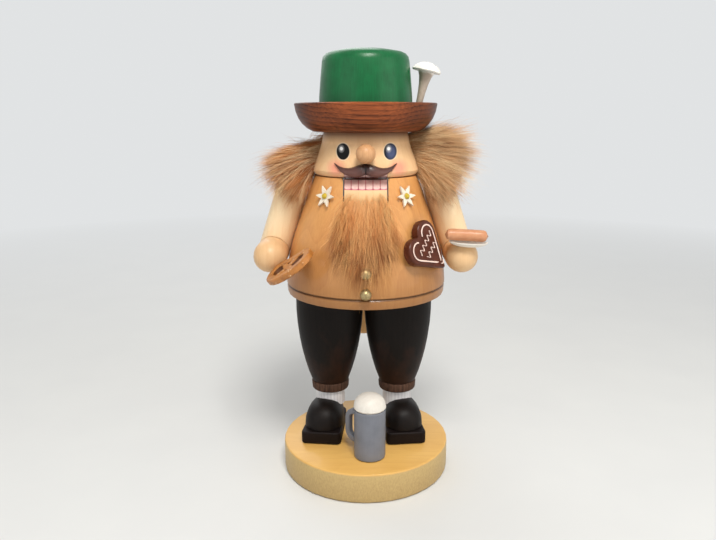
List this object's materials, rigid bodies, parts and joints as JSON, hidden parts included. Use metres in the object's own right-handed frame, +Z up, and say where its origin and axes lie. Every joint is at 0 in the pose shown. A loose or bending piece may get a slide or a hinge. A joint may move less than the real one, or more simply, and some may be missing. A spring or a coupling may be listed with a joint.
{
  "type": "nutcracker figure",
  "caption": "Turned and painted wooden nutcracker: a stout man in dark breeches, tan waistcoat and brimmed hat, with fur hair and beard and a lever jaw.",
  "frame": {"origin": "middle of the round base, on its underside", "axes": "+Z up through the base, the figure looks along -Y, and +X is on the right of someone facing it"},
  "size_m": [0.1396, 0.1272, 0.261],
  "materials": {
    "pale_wood": "clear satin lacquer",
    "tan_wood": "stained, satin lacquer",
    "face_wood": "clear satin lacquer",
    "cream_sleeve": "cream stain, satin",
    "hand_wood": "skin-toned stain, satin",
    "breeches_stain": "black-brown stain",
    "cuff_stain": "red-brown stain",
    "shoe_paint": "black satin paint",
    "white_paint": "white satin paint",
    "green_lacquer": "green lacquer",
    "brim_wood": "red-brown stain, open grain",
    "fur": "natural fur, glued",
    "moustache_paint": "dark brown paint",
    "mug_grey": "blue-grey paint",
    "dough_brown": "brown stain",
    "gingerbread_brown": "dark brown paint",
    "sausage_paint": "orange-pink paint",
    "yellow_paint": "yellow paint",
    "steel": "drawn",
    "button_metal": "dull"
  },
  "bodies": {
    "figure": {"ankle_dowel_left": "pale_wood", "ankle_dowel_right": "pale_wood", "base_plate": "pale_wood", "body": "tan_wood", "button_lower": "button_metal", "button_upper": "button_metal", "cuff_left": "cuff_stain", "cuff_right": "cuff_stain", "elbow_dowel_left": "pale_wood", "elbow_dowel_right": "pale_wood", "flower_eye_left": "yellow_paint", "flower_eye_right": "yellow_paint", "flower_left": "white_paint", "flower_right": "white_paint", "hair_back": "fur", "hair_left": "fur", "hair_right": "fur", "hand_left": "hand_wood", "hand_right": "hand_wood", "hat_brim": "brim_wood", "hat_brush": "white_paint", "hat_crown": "green_lacquer", "hat_dowel": "pale_wood", "head": "face_wood", "heart": "gingerbread_brown", "hip_dowel_left": "pale_wood", "hip_dowel_right": "pale_wood", "leg_left": "breeches_stain", "leg_right": "breeches_stain", "lever_pin": "steel", "moustache": "moustache_paint", "mug_body": "mug_grey", "mug_foam": "white_paint", "mug_handle": "mug_grey", "neck_dowel_left": "pale_wood", "neck_dowel_right": "pale_wood", "nose": "face_wood", "plate": "white_paint", "pretzel": "dough_brown", "sausage": "sausage_paint", "shoe_sole_left": "shoe_paint", "shoe_sole_right": "shoe_paint", "shoe_upper_left": "shoe_paint", "shoe_upper_right": "shoe_paint", "shoulder_dowel_left": "pale_wood", "shoulder_dowel_right": "pale_wood", "sleeve_left": "cream_sleeve", "sleeve_right": "cream_sleeve", "sock_left": "white_paint", "sock_right": "white_paint"},
    "lever": {"beard": "fur", "lever": "pale_wood"}
  },
  "joints": [
    {"name": "jaw_lever", "type": "hinge", "parent": "figure", "child": "lever", "pos_m": [0, 0.011, 0.1479], "axis": [1, 0, 0], "range_deg": [0, 28], "deforming": ["beard"]}
  ]
}
